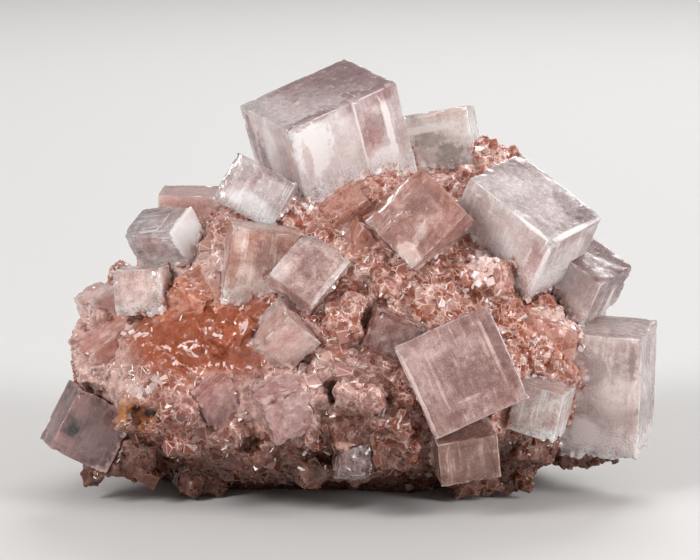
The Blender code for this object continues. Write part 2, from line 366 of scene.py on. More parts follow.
def grain_shape(chance, worn):
    """One chipped cube of edge 1 about the origin: its corners, triangles, and which are worn edges."""
    chipped_share, deepest_chip, crooked, worn_width = 0.35, 0.7, 0.1, 0.04
    shape = bmesh.new()
    for signs in itertools.product((-1, 1), repeat=3):
        corner = Vector(signs) * 0.5
        if chance.random() < chipped_share:
            for k in range(3):
                cut = corner.copy()
                cut[k] *= chance.uniform(0.0, deepest_chip)
                shape.verts.new(cut)
        else:
            aside = [chance.uniform(-crooked, crooked) for _ in range(3)]
            shape.verts.new(corner + Vector(aside))
    bmesh.ops.convex_hull(shape, input=shape.verts)
    loose = [vertex for vertex in shape.verts if not vertex.link_faces]
    bmesh.ops.delete(shape, geom=loose, context="VERTS")
    flat = math.radians(8)
    bmesh.ops.dissolve_limit(shape, angle_limit=flat, verts=shape.verts, edges=shape.edges)
    if worn:
        bmesh.ops.bevel(
            shape, geom=shape.edges, offset=worn_width, segments=1, affect="EDGES", material=1
        )
    bmesh.ops.triangulate(shape, faces=shape.faces)
    shape.verts.index_update()
    corners = np.array([vertex.co[:] for vertex in shape.verts])
    triangles = np.array([[vertex.index for vertex in face.verts] for face in shape.faces])
    edges = np.array([face.material_index for face in shape.faces])
    shape.free()
    return corners, triangles, edges


def turns(how_many, chance):
    """That many evenly spread rotations, as matrices."""
    four = chance.normal(size=(how_many, 4))
    four /= np.linalg.norm(four, axis=1, keepdims=True)
    w, x, y, z = four.T
    rows = [
        [1 - 2 * (y * y + z * z), 2 * (x * y - z * w), 2 * (x * z + y * w)],
        [2 * (x * y + z * w), 1 - 2 * (x * x + z * z), 2 * (y * z - x * w)],
        [2 * (x * z - y * w), 2 * (y * z + x * w), 1 - 2 * (x * x + y * y)],
    ]
    return np.array(rows).transpose(2, 0, 1)


def mesh_arrays(mesh):
    """The points and triangles of a mesh, as arrays."""
    mesh.calc_loop_triangles()
    points = np.empty(len(mesh.vertices) * 3, np.float32)
    mesh.vertices.foreach_get("co", points)
    index = np.empty(len(mesh.loop_triangles) * 3, np.int32)
    mesh.loop_triangles.foreach_get("vertices", index)
    return points.reshape(-1, 3).astype(float), index.reshape(-1, 3)


def joined(meshes):
    """Several meshes, each its points and its triangles, as one."""
    starts = np.cumsum([0] + [len(points) for points, _ in meshes])
    triangles = [some + start for (_, some), start in zip(meshes, starts)]
    return np.concatenate([points for points, _ in meshes]), np.concatenate(triangles)


def within(places, middle, reach):
    """How far each place is inside an ellipsoid, from 1 at its middle to 0 at its edge."""
    away = np.linalg.norm((places / mm - np.array(middle)) / np.array(reach), axis=1)
    return np.clip(1 - away, 0, 1)


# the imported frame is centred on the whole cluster's box, which is this far from the drawing's own
# centre, in millimetres
frame_shift = Vector((-0.1, 0.3, 0.0))


def in_frame(place):
    """A crystal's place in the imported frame."""
    return Vector(place) + frame_shift


def turned_to(place, turn):
    """The matrix that turns a crystal and moves it to its place; millimetres and degrees."""
    spot = in_frame(place) * mm
    return Matrix.Translation(spot) @ Euler([math.radians(a) for a in turn]).to_matrix().to_4x4()


# cubes that grew out of the mound itself, sunk in it to half their height: a middle, the edges and
# the turns of each, in millimetres and degrees
small_cubes = {
    "pale_small_cube": ((-12.4, -25.8, 35.0), (8.8, 9.0, 9.2), (22, 40, 26)),
    "pink_small_cube": ((-25.6, -25.4, 23.4), (8.0, 8.6, 9.0), (12, -27, 18)),
    "lavender_small_cube": ((-12.5, -31.0, 22.5), (8.8, 9.4, 9.2), (12, -21, 16)),
    "dark_small_cube": ((7.6, -24.3, 35.3), (10.3, 8.6, 8.3), (3, 25, 8)),
    "low_small_cube": ((0.3, -30.2, 11.8), (6.2, 7.4, 6.0), (-20, 2, 11)),
    "left_ledge_cube": ((-45.8, -6.8, 28.6), (11.2, 11.8, 10.8), (10, -38, 20)),
    "left_top_cube": ((-48.2, -3.2, 35.4), (7.2, 7.8, 8.8), (8, -22, 24)),
    "left_end_cube": ((-49.4, -1.0, 31.6), (6.8, 8.6, 6.8), (-10, 30, -12)),
    "orange_cube": ((-29.0, -13.4, 39.2), (8.8, 9.4, 8.8), (16, 24, -30)),
    "orange_right_cube": ((-23.4, -17.2, 37.6), (6.4, 7.4, 6.0), (-14, -18, 22)),
    "orange_left_cube": ((-34.2, -13.6, 36.4), (5.6, 6.4, 5.2), (20, -30, 8)),
    "upper_orange_cube": ((2.5, -9.2, 49.0), (8.8, 8.8, 8.8), (18, 32, 22)),
    "upper_small_cube": ((-0.5, -4.2, 54.5), (8.8, 8.8, 7.8), (22, -28, 14)),
    "right_orange_cube": ((36.4, -9.2, 30.4), (10.6, 12.8, 11.6), (6, 18, 12)),
}
box_quads = [(0, 1, 3, 2), (4, 6, 7, 5), (0, 4, 5, 1), (2, 3, 7, 6), (0, 2, 6, 4), (1, 5, 7, 3)]


def tree_of(meshes):
    """Closed meshes, each its points and its faces, in one search tree."""
    points, faces, count = [], [], 0
    for some, polygons in meshes:
        points += [tuple(point) for point in some]
        faces += [[corner + count for corner in polygon] for polygon in polygons]
        count += len(some)
    return BVHTree.FromPolygons(points, faces)


def box_of(place, size, turn):
    """A turned box as its eight corners and its six faces."""
    half = [side * mm / 2 for side in size]
    corners = itertools.product(*((-side, side) for side in half))
    return [turned_to(place, turn) @ Vector(corner) for corner in corners], box_quads


large_crystals = tree_of(
    mesh_arrays(node.data) for name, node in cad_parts.items() if name != "matrix"
)
small_crystals = tree_of(box_of(*block) for block in small_cubes.values())


def outside(tree, place):
    """How far a place is outside the nearest of a tree's bodies; inside one it is below 0."""
    spot, normal, _, away = tree.find_nearest(place)
    return away if (place - spot).dot(normal) > 0 else -away


def clearance(place):
    """How far a place is outside every crystal, large or small."""
    return min(outside(large_crystals, place), outside(small_crystals, place))


lowest_grain, above_cut = 1.2 * mm, 0.1 * mm
least_room, smallest_by_crystal = 0.15 * mm, 0.4 * mm
shapes_made = 14


def strewn(ground, how_many, sizes, sink, worn, favour, seed, keep_off=True):
    """Chipped grains sown over some ground: points, triangles and worn-edge marks. `favour` gives
    each place's share of them. With `keep_off`, those by a crystal are small enough to miss it."""
    chance = np.random.default_rng(seed)
    shapes = [grain_shape(random.Random(seed * 100 + k), worn) for k in range(shapes_made)]
    corners = ground[0][ground[1]]
    cross = np.cross(corners[:, 1] - corners[:, 0], corners[:, 2] - corners[:, 0])
    areas = np.linalg.norm(cross, axis=1)
    normals = cross / np.maximum(areas, 1e-15)[:, None]
    middles = corners.mean(axis=1)
    weight = areas * favour(middles) * (middles[:, 2] > lowest_grain)
    picked = chance.choice(len(areas), size=how_many, p=weight / weight.sum())
    shares = chance.dirichlet((1, 1, 1), size=how_many)
    places = (corners[picked] * shares[:, :, None]).sum(axis=1)
    edges = chance.uniform(0, 1, how_many) ** 2.0 * (sizes[1] - sizes[0]) + sizes[0]
    turned = turns(how_many, chance)
    stretch = chance.uniform(0.7, 1.25, size=(how_many, 3))
    kinds = chance.integers(0, shapes_made, how_many)
    sown, marks = [], []
    for place, normal, edge, turn, side, kind in zip(
        places, normals[picked], edges, turned, stretch, kinds
    ):
        if keep_off:
            room = clearance(Vector(place))
            if room < least_room:
                continue
            edge = min(edge, smallest_by_crystal + room * 1.2)
        shape, triangles, worn_faces = shapes[kind]
        made = (shape * side * edge) @ turn.T + place - normal * edge * sink
        if made[:, 2].min() < above_cut:
            continue
        sown.append((made, triangles))
        marks.append(worn_faces)
    return *joined(sown), np.concatenate(marks)


def coarse_places(places):
    """Coarse grains keep off the smooth waxy patch and thin out towards the foot."""
    waxy = within(places, *waxy_patch)
    low = np.clip(places[:, 2] / (26 * mm), 0.3, 1.0)
    return low * np.clip(1 - waxy * 5, 0.06, 1)


def seam_at(spot, width):
    """How near a place is to a seam between grains of that width: 1 on the seam, 0 away from it."""
    near, far = noise.voronoi(spot / width)[0][:2]
    return fading((far - near) * width, seam_reach)


def lumpy_skin(node):
    """The node's mesh with coarse grains on it, fused by an even remesh. The seams between its
    grains stand up as thin ridges, and each of its points knows its seam and its contact."""
    ground = mesh_arrays(node.data)
    points, faces, _ = strewn(
        ground, coarse_grains, coarse_sizes, coarse_sink, False, coarse_places, 11
    )
    grained = plain_mesh("sugary_matrix", *joined([ground, (points, faces)]))
    piece = as_piece("sugary_matrix", grained)
    remesh = piece.modifiers.new("fused", "REMESH")
    remesh.mode = "VOXEL"
    remesh.voxel_size = fused_voxel
    mesh = baked(piece)
    if 2 * len(mesh.polygons) > most_triangles:
        thin = piece.modifiers.new("thin", "DECIMATE")
        thin.ratio = most_triangles / (2 * len(mesh.polygons))
        mesh = baked(piece)
    # Blender takes the noise vector's seed from the clock unless it is given one.
    noise.seed_set(wander_seed)
    seams, contacts, moved = [], [], []
    for vertex in mesh.vertices:
        spot = vertex.co / mm
        wander = spot + 1.1 * noise.noise_vector(spot / 2.6)
        fine_share = min(1.0, max(0.0, noise.noise(spot / 7.0) * 3.0 + 0.35))
        seam = max(seam_at(wander, coarse_seams), seam_at(wander, fine_seams) * fine_share)
        seams.append(seam)
        crystal_at, _, _, away = large_crystals.find_nearest(vertex.co)
        small_away = outside(small_crystals, vertex.co) / mm
        contacts.append(fading(min(away / mm, max(0.0, small_away)) * mm, contact_reach))
        push = (seam * seam - 0.35) * seam_height + noise.noise(spot / 1.3) * seam_height * 0.7
        fillet = fillet_height * fading(small_away, 0.8) * mm
        push = push + fillet if small_away > 0.0 else -fillet_height * mm
        closed = min(1.0, max(0.0, (sealed_from - away) / seal_width))
        moved.append((vertex.co + vertex.normal * push * (1 - closed)).lerp(crystal_at, closed))
    for vertex, place in zip(mesh.vertices, moved):
        low = vertex.co.z < 0.35 * mm
        level = (vertex.co.x, vertex.co.y, 0.0)
        vertex.co = level if low else (*place[:2], max(place.z, above_cut))
    mark_points(mesh, "seam", seams)
    mark_points(mesh, "contact", contacts)
    mesh.shade_smooth()
    return piece


coarse_grains, coarse_sizes, coarse_sink = 2600, (1.2 * mm, 4.2 * mm), 0.3
fused_voxel = 0.5 * mm
coarse_seams, fine_seams = 3.1, 1.7
seam_reach, seam_height = 0.55, 0.36 * mm
wander_seed = 1795473363
contact_reach = 2.2 * mm
fillet_height = 0.3
sealed_from, seal_width = 0.9 * mm, 0.45 * mm
most_triangles = 196000

matrix = lumpy_skin(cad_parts["matrix"])
matrix.data.materials.append(matrix_finish())
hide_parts("matrix")
held(matrix)

# ------------------------------------------------------------------ the fine grains
# Small clear halite grains cover the mound, each chipped and grown fast to its neighbours. They
# catch the light, and their worn edges are paler than their faces.


def grain_finish():
    finish = Finish("halite_grain")
    colour, _, foot = matrix_zones(finish)
    own = finish.ramp(finish.each_grain(), 0.5, 1.0)
    colour = finish.mix(colour, pale_pink, own * 0.6 * (1 - foot))
    cloudy = finish.skin(
        Base_Color=colour, Roughness=0.22,
        Subsurface_Weight=0.7, Subsurface_Radius=(1.0, 0.4, 0.28), Subsurface_Scale=2.0 * mm,
        Coat_Weight=0.5, Coat_Roughness=0.05,
    )
    paler = finish.mix(colour, (1, 1, 1), 0.6)
    clear = finish.skin(Base_Color=paler, Roughness=0.1, Transmission_Weight=1.0)
    share = finish.ramp(finish.noise(3.0), 0.35, 0.75) * 0.5
    return finish.done(finish.blend(cloudy, clear, share))


def worn_edge_finish():
    finish = Finish("worn_grain_edge")
    colour, _, foot = matrix_zones(finish)
    colour = finish.mix(colour, (0.92, 0.74, 0.68), 0.6 - foot * 0.5)
    return finish.done(finish.skin(Base_Color=colour, Roughness=0.22))


grain = grain_finish()
worn_edge = worn_edge_finish()


def fine_places(places):
    """Fine grains keep off the waxy patch and are thickest towards the foot."""
    waxy = within(places, *waxy_patch)
    low = np.clip(1.6 - places[:, 2] / (40 * mm), 0.5, 1.6)
    return low * np.clip(1 - waxy * 4, 0.12, 1)


def sown_piece(name, sown, *materials):
    """A piece of loose grains: their points, their triangles and which of these are worn edges."""
    points, faces, marks = sown
    mesh = plain_mesh(name, points, faces)
    mesh.polygons.foreach_set("material_index", marks.astype(np.int32))
    held(as_piece(name, mesh, *materials))


skin_ground = mesh_arrays(matrix.data)
clear = strewn(skin_ground, 1500, (0.9 * mm, 2.6 * mm), 0.3, True, fine_places, 12)
sown_piece("clear_grains", clear, grain, worn_edge)
fine = strewn(skin_ground, 5000, (0.4 * mm, 1.0 * mm), 0.2, False, fine_places, 13)
sown_piece("fine_grains", fine, grain)

# ------------------------------------------------------------------ the crown crystal
# The clearest and highest cube, of two stepped growths joined. Its foot is frosted where it leaves
# the matrix, its heart is milky and its top is a clearer pink.

line_spacing = 0.5 * mm
edge_rounding = 0.18 * mm


def mesh_lines(length):
    """Where a crystal's mesh lines run along an edge: even, and closer together at both ends."""
    inner = length / 2 - edge_rounding
    steps = max(3, round(2 * inner / line_spacing))
    middle = np.linspace(-inner, inner, steps + 1)
    ends = inner + edge_rounding * np.tan(np.radians([22.0, 45.0]))
    return np.concatenate([-ends[::-1], middle, ends])


def cube_grid(size):
    """The corners and quads of a closed box of that size, its faces divided by the mesh lines."""
    lines = [mesh_lines(length) for length in size]
    points, quads, count = [], [], 0
    for axis in range(3):
        u, v = (axis + 1) % 3, (axis + 2) % 3
        across, along = np.meshgrid(lines[u], lines[v], indexing="ij")
        rows, columns = across.shape
        index = np.arange(rows * columns).reshape(rows, columns)
        cells = np.stack([index[:-1, :-1], index[1:, :-1], index[1:, 1:], index[:-1, 1:]], -1)
        cells = cells.reshape(-1, 4)
        for side in (-1, 1):
            face = np.empty((rows * columns, 3))
            face[:, axis] = side * size[axis] / 2
            face[:, u] = across.ravel()
            face[:, v] = along.ravel()
            points.append(face)
            quads.append((cells if side > 0 else cells[:, ::-1]) + count)
            count += len(face)
    points = np.concatenate(points)
    quads = np.concatenate(quads)
    micron = 0.001 * mm
    whole_microns = np.round(points / micron)
    _, first, index = np.unique(whole_microns, axis=0, return_index=True, return_inverse=True)
    return points[first], index.reshape(-1)[quads]


def grown_cube(size, seed, steps=0.12, wear=0.12, chips=0.5, foot=0.0):
    """A closed cube about the origin, with growth steps on its faces, worn edges and chipped
    corners. Each vertex is sunk towards a smaller cube, so a chip is bounded by cleavage planes.
    `foot` is how many millimetres its lowest edges have crumbled away."""
    terraces, crumbled_height = 2.5, 5.0 * mm
    half = np.array(size) * mm / 2
    points, quads = cube_grid(half * 2)
    inner = half - edge_rounding
    core = np.clip(points, -inner, inner)
    out = points - core
    out /= np.linalg.norm(out, axis=1, keepdims=True)
    shaped = np.empty_like(points)
    away = np.sort((half - np.abs(points)) / mm, axis=1)
    own = Vector((seed * 7.31, seed * 3.77, seed * 5.13))
    for k, point in enumerate(points):
        spot = Vector(point) / mm + own
        from_edge, from_corner = away[k, 1], away[k, 2]
        terrace = noise.noise(spot / 8.0) * 2.2 + noise.noise(spot / 3.0) * 0.5
        sunk = max(0.0, -math.floor(terrace * terraces) / terraces) * steps
        sunk += fading(from_edge, 0.7) * max(0.0, noise.noise(spot / 1.4)) * wear
        bite = noise.noise(spot / 2.6) + 0.4 * noise.noise(spot / 1.0)
        near_corner = fading(from_corner, 3.0) * fading(from_edge, 3.0)
        sunk += near_corner * max(0.0, bite) * chips * 2.5
        sunk += fading(from_edge, 1.4) * max(0.0, bite - 0.38) * chips * 3.0
        crumb = 0.8 + 1.2 * noise.noise(spot / 2.0) + 0.5 * noise.noise(spot / 0.9)
        low = fading(point[2] + half[2], crumbled_height)
        sunk += foot * low * fading(from_edge, 4.0) * max(0.0, crumb)
        left = inner - sunk * mm
        shaped[k] = np.clip(core[k], -left, left) + out[k] * edge_rounding
    return shaped, quads


def along(streak, across, lengthwise):
    """How far a pattern reaches along each axis, where it is drawn out along one."""
    return [lengthwise if k == streak else across for k in range(3)]


def crystal_finish(
    name, block, milk, pink, cloudy=0.5, frost=(0.42, 0.02), blush=(0.72, 1.0), streak=2,
    streaks=0.4, rim=2.4, density=12.0, edge_wear_and_highlight=0.7, clouds=(), melt=0.0,
    sugar=(0.74, 0.50, 0.45), white=(0.97, 0.88, 0.87), tint=(1.0, 0.94, 0.93),
    window_shade=(0.26, 0.19, 0.19),
):
    """Clear halite with milky clouds. `frost` and `blush` say between which shares of its height it
    turns white towards the foot and pink towards the top. Each of `clouds` is a place and a reach in
    the crystal's own millimetres, and how much milkier it is there, or below 0 how much clearer it
    is, its clear windows darkened with painted shade. It turns sugary by the matrix, and all over as
    `melt` nears 1."""
    place, size, turn = block
    finish = Finish(name)
    ramp = finish.ramp
    turned = [math.radians(angle) for angle in turn]
    local = finish.place([mm] * 3, [side * mm for side in in_frame(place)], turn=turned)

    # how far a place is from the nearest edge, and its share of the crystal's height
    half = [side / 2 for side in size]
    depth = finish.vector("SUBTRACT", half, finish.vector("ABSOLUTE", local))
    x, y, z = [finish.part(depth, axis) for axis in "XYZ"]
    edge = x.lesser(y).greater(x.greater(y).lesser(z))
    upright = turned_to(place, turn).to_3x3().transposed() @ Vector((0, 0, 1))
    reach = sum(abs(upright[k]) * half[k] for k in range(3))
    height = finish.vector("DOT_PRODUCT", local, upright, "Value") / (2 * reach) + 0.5

    # patterns, from the widest to the finest
    cloud = finish.clouds(local, 0.17, 3.0, 0.6)
    fibre = finish.clouds(finish.place(along(streak, 1.0, 9.0), where=local), 1.3, 3.0, 0.65)
    mottle = finish.clouds(local, 0.8, 3.0)
    speck = finish.clouds(local, 3.2, 1.0)
    split = finish.place(along(streak, 3.4, 8.0), where=local)
    cleft = finish.cells(split, uneven=0.8)
    cell, own = finish.grains(1.4, finish.warped(1.2, 1.6))
    shade = finish.part(own, "X")
    contact = finish.carried("contact")

    # where it is frosted, blushed, worn with painted highlight at its edges, sugary or cracked
    uneven = height + (cloud - 0.5) * 0.5
    frosted, blushed = ramp(uneven, *frost), ramp(uneven, *blush)
    in_rim = ramp(edge + (mottle - 0.5) * 0.8, rim * 1.1, rim * 0.85)
    # worn edges are painted white: partly wear, and partly painted highlight where edges catch the
    # light
    worn = ramp(edge + (mottle - 0.5) * 0.5, 0.34, 0.12) * edge_wear_and_highlight * ramp(cloud, 0.36, 0.50)
    fibres = ramp(fibre, 0.50, 0.70) * streaks
    crumbly = contact + frosted * 0.3 + (cloud - 0.5) * 1.1 + (mottle - 0.5) * 0.5 + melt
    sugary = ramp(crumbly, 0.55, 1.0)
    collar = ramp(contact + (mottle - 0.5) * 0.5, 0.7, 0.92)
    net = ramp(cell, 0.10, 0.03) * ramp(fibre, 0.36, 0.56) * sugary
    veil = ramp(cleft, 0.07, 0.01) * ramp(cloud, 0.48, 0.60) * ramp(fibre, 0.4, 0.6)
    rough_part = frosted.greater(sugary)
    # white flecks on frosted and sugary parts are painted sparkles, a painted highlight
    painted_sparkles = ramp(speck, 0.53, 0.60) * rough_part * 0.8

    # how milky it is, from 0 to 1, and its clear windows, darkened with painted shade
    share = (cloud - 0.5) * 0.6 + (mottle - 0.5) * 0.4 + fibres * 0.4 + cloudy
    share = share + frosted * 0.35 - in_rim * 0.08 - blushed * 0.08
    shaded_window = ramp(fibre, 0.44, 0.30) * streaks * 0.18
    torn = (mottle - 0.5) * 1.5
    for middle, wide, amount in clouds:
        there = finish.within(finish.place(wide, middle, local), torn, 0.3)
        share = share + there * (amount if amount > 0 else amount * 0.5)
        if amount < 0:
            shaded_window = shaded_window.greater(there * -amount)
    # dark specks in its frosted and sugary parts are painted shade as well
    shaded_window = shaded_window.greater(ramp(speck, 0.46, 0.38) * rough_part * 0.5)
    share = share + sugary * 0.3 + (shade - 0.5) * sugary * 0.4 + (speck - 0.5) * 0.3
    share = share.greater(painted_sparkles * 0.9, worn, net * 0.7, veil * 0.85).lesser(0.93).greater(0.06)

    milky = finish.coated(
        milk,
        (white, ramp(share, 0.4, 0.95)),
        (pink, blushed * 0.75),
        (sugar, sugary * ramp(shade, 0.8, 0.2) * 0.8),
        (window_shade, shaded_window),
        (white, worn.greater(net, veil, painted_sparkles)),
    )
    relief = fibre * 0.3 + mottle * 0.4 + speck * 0.3
    normal = finish.leaning(finish.bump(relief, 0.4, 0.2), own, sugary * 0.6)
    # the clear part's colour is darkened in the windows too, as painted shade
    through = finish.coated(tint, (pink, blushed * 0.5), ([part * 2 for part in window_shade], shaded_window))
    clear = finish.skin(
        Base_Color=through, Roughness=mottle * 0.15, Transmission_Weight=1.0, Normal=normal,
    )
    dull = finish.skin(
        Base_Color=milky, Roughness=0.2, Normal=normal,
        Subsurface_Weight=1.0, Subsurface_Radius=(1.0, 0.88, 0.86), Subsurface_Scale=6.0 * mm,
        Coat_Weight=0.5, Coat_Roughness=0.04,
    )
    at_foot = finish.mix(sugar, white, ramp(shade, 0.15, 0.85).greater(net, painted_sparkles))
    frosty = finish.skin(
        Base_Color=at_foot, Roughness=0.25, Normal=normal, Coat_Weight=0.5, Coat_Roughness=0.05,
    )
    glow = finish.node("VolumeAbsorption", {}, {"Color": (0.97, 0.74, 0.70), "Density": density})
    body = finish.blend(clear, dull, share)
    return finish.done(finish.blend(body, frosty, collar * 0.9), glow)


skin_points = [vertex.co for vertex in matrix.data.vertices]
skin_faces = [list(face.vertices) for face in matrix.data.polygons]
matrix_skin = tree_of([(skin_points, skin_faces)])
foot_reach = 4.5 * mm
pit_spacing, pit_depth = 1.1 * mm, 1.6 * mm
sharp_angle = math.radians(32)
large_pieces = []


def near_matrix(place):
    """1 where a place is on the matrix's skin, falling to 0 a foot's reach away."""
    return fading(matrix_skin.find_nearest(place)[3], foot_reach)


def grown(name, slot, blocks, finishes, seed, **shape):
    """A crystal, or several that grew through one another and are joined, its foot pitted where it
    meets the matrix. A block is a cube's middle, its edges and its turns."""
    parts = []
    for k, (place, size, turn) in enumerate(blocks):
        points, quads = grown_cube(size, seed + 3 * k, **shape)
        mesh = plain_mesh(name, points, quads)
        mesh.transform(turned_to(place, turn))
        parts.append(as_piece(name, mesh, *finishes))
        mesh.polygons.foreach_set("material_index", [k % len(finishes)] * len(quads))
    whole, *others = parts
    for other in others:
        join = whole.modifiers.new("join", "BOOLEAN")
        join.operation = "UNION"
        join.solver = "MANIFOLD"
        join.object = other
        baked(whole)
        bpy.data.objects.remove(other)
    mesh = whole.data
    contacts = [near_matrix(vertex.co) for vertex in mesh.vertices]
    pitted = []
    for vertex, contact in zip(mesh.vertices, contacts):
        pit = max(0.0, noise.noise(vertex.co / pit_spacing) + 0.1) * max(0.0, contact - 0.45)
        pitted.append(vertex.co - vertex.normal * pit * pit_depth)
    for vertex, place in zip(mesh.vertices, pitted):
        vertex.co = place
    mark_points(mesh, "contact", contacts)
    mesh.shade_smooth()
    mesh.set_sharp_from_angle(angle=sharp_angle)
    return held(whole, slot)


def crystal(node, slot, seed, *growths, **shape):
    """A large crystal in place of its solid. Each growth is a name, its block and its looks."""
    finishes = [crystal_finish(name, block, **looks) for name, block, looks in growths]
    blocks = [block for _, block, _ in growths]
    whole = grown(node + "_grown", slot, blocks, finishes, seed, **shape)
    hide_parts(node)
    large_pieces.append(whole)


soft_white = (0.88, 0.77, 0.76)
soft_pink = (0.36, 0.178, 0.178)


def shifted(clouds, x, y, z):
    """The same clouds, placed from another middle."""
    return [((a + x, b + y, c + z), wide, amount) for (a, b, c), wide, amount in clouds]


crown_turn = (9, -20, 27)
# clouds below 0 are clear windows with painted shade, and the first, a bright panel on the front, is a
# painted reflection of an inner face
crown_clouds = [
    ((-8.0, -9.9, 5.5), (4.2, 3.0, 6.0), 0.4), ((-9.6, -9.9, 3.0), (1.0, 3.0, 3.6), -0.3),
    ((-1.6, -9.9, 5.0), (2.6, 3.0, 7.0), 0.1), ((-7.0, -9.0, 10.6), (5.4, 1.7, 1.2), -0.5),
    ((2.0, 3.0, 10.6), (8.0, 3.0, 1.2), -0.12), ((-12.2, 4.5, -2.0), (1.2, 1.6, 6.5), -0.5),
    ((-12.2, 7.6, 4.0), (1.2, 1.2, 6.0), -0.3), ((-12.2, 0.0, 2.0), (1.2, 2.4, 8.0), 0.25),
    ((-12.2, 8.8, -5.0), (1.2, 1.4, 4.0), 0.5), ((5.6, -10.3, 3.8), (2.2, 3.0, 3.0), -0.2),
    ((8.6, -10.3, 3.0), (0.7, 3.0, 6.5), 0.5), ((6.0, -10.3, -3.0), (3.2, 3.0, 2.6), 0.35),
    ((2.3, -10.3, 3.0), (0.22, 3.0, 9.0), 0.6),
]
crown_looks = dict(
    milk=soft_white, pink=soft_pink, cloudy=0.56, frost=(0.44, 0.12), blush=(0.72, 0.90),
    streaks=0.3, window_shade=(0.24, 0.12, 0.11),
)
crystal(
    "crown_crystal", "clear_pink_halite", 13,
    ("crown", ((-4.1, 6.3, 67.3), (24.3, 19.8, 21.1), crown_turn), dict(
        crown_looks, clouds=crown_clouds,
    )),
    ("crown_step", ((2.07, 9.09, 69.62), (10.2, 20.0, 21.2), crown_turn), dict(
        crown_looks, clouds=shifted(crown_clouds, -7.2, 0.3, -0.2),
    )),
)

# ------------------------------------------------------------------ the back crystal
# A milky block behind the crown, its grey-green cloudy core inside a clear pink rim.

crystal(
    "back_crystal", "milky_pink_halite", 12,
    ("back_milky", ((16.6, 23.6, 64.4), (17.9, 13.0, 13.6), (-6, -10, -9)), dict(
        milk=(0.70, 0.62, 0.54), pink=(0.72, 0.46, 0.40), cloudy=0.75, frost=(0.05, -0.2),
        blush=(0.84, 1.0), rim=2.6, density=30.0, streak=0,
        clouds=[
            ((0.7, -6.5, 1.1), (3.0, 3.0, 1.6), -0.3), ((4.3, -6.5, -2.0), (2.4, 3.0, 2.0), -0.3),
            ((-2.0, -6.5, 3.4), (6.0, 3.0, 0.7), 0.2),
        ],
    )),
)

# ------------------------------------------------------------------ the right crystals
# Two clear, turned cubes and a tall milky block, grown through one another at the right end.
# The cubes are streaked down towards their frosted feet.

crystal(
    "right_crystal_group", "clear_pink_halite", 19,
    ("right_upper", ((33.1, -5.1, 51.4), (21.6, 16.0, 17.4), (13, 31, -35)), dict(
        milk=(0.80, 0.69, 0.675), pink=soft_pink, cloudy=0.58, frost=(0.5, 0.2),
        blush=(0.86, 1.0), streaks=0.4, rim=3.2,
        clouds=[
            ((6.5, 4.6, 8.7), (5.5, 2.4, 1.5), -0.3), ((-7.2, 3.5, 8.7), (3.5, 4.0, 1.5), -0.12),
            ((9.0, -8.0, 1.0), (1.8, 2.0, 4.0), -0.12), ((9.6, -8.0, -4.0), (2.4, 2.0, 3.2), 0.3),
            ((1.2, -8.0, -0.5), (4.5, 2.0, 4.5), 0.2), ((5.0, -8.0, -5.0), (4.5, 2.0, 2.2), 0.35),
            ((-8.8, -8.0, -4.0), (3.0, 2.0, 4.2), 0.35), ((-6.0, -8.0, 4.0), (3.0, 2.0, 3.0), -0.15),
            ((10.8, -4.6, -5.0), (1.5, 3.6, 3.6), 0.35), ((10.8, -7.8, 2.0), (0.6, 0.8, 7.0), 0.5),
            ((10.4, -1.0, 8.5), (0.6, 8.0, 0.6), 0.5), ((6.0, -7.9, 8.6), (5.0, 0.5, 0.5), 0.45),
            ((10.8, 2.0, 3.0), (1.5, 3.0, 3.0), 0.1),
        ],
    )),
    ("right_second", ((43.4, -0.9, 41.6), (16.6, 11.0, 13.8), (13, 30, -33)), dict(
        milk=(0.42, 0.29, 0.285), pink=soft_pink, white=(0.90, 0.79, 0.78), cloudy=0.55,
        frost=(0.42, 0.1), blush=(0.86, 1.0), streaks=0.6, rim=2.8,
        clouds=[
            ((-1.0, -5.5, 4.4), (2.8, 2.0, 3.0), -0.42), ((5.0, -5.5, -1.8), (3.0, 2.0, 2.8), 0.3),
            ((3.0, -5.5, -5.0), (4.0, 2.0, 1.6), 0.45), ((8.3, -0.7, 0.9), (1.5, 0.6, 5.0), -0.35),
            ((8.3, 1.2, -1.0), (1.5, 0.7, 5.0), 0.3), ((8.3, 3.6, 3.0), (1.5, 2.0, 4.0), -0.12),
            ((-0.5, -2.0, 6.9), (4.0, 3.0, 1.2), -0.2),
        ],
    )),
    ("right_end", ((49.6, -6.0, 20.7), (16.6, 15.0, 25.2), (5, 2, -17)), dict(
        milk=(0.56, 0.41, 0.385), pink=(0.50, 0.34, 0.315), white=(0.84, 0.73, 0.71), cloudy=0.66,
        frost=(0.36, 0.06), blush=(0.9, 1.1), streaks=0.3, density=22.0, rim=3.0,
        clouds=[
            ((0.5, -7.5, 6.0), (4.5, 2.0, 2.8), -0.2), ((3.5, -7.5, 1.0), (3.5, 2.0, 4.0), 0.15),
            ((6.6, -7.5, 8.0), (0.8, 2.0, 3.4), -0.3), ((8.2, 0.0, -3.0), (1.5, 7.0, 5.0), -0.2),
            ((8.2, -2.0, 9.0), (1.5, 4.0, 3.0), -0.15), ((-3.5, -7.5, -6.5), (3.5, 2.0, 2.6), 0.3),
        ],
    )),
    foot=1.6,
)

# ------------------------------------------------------------------ the front crystals
# A clear mauve cube low on the front, with a frosted small one on its right and a clear one
# under it, all grown together.

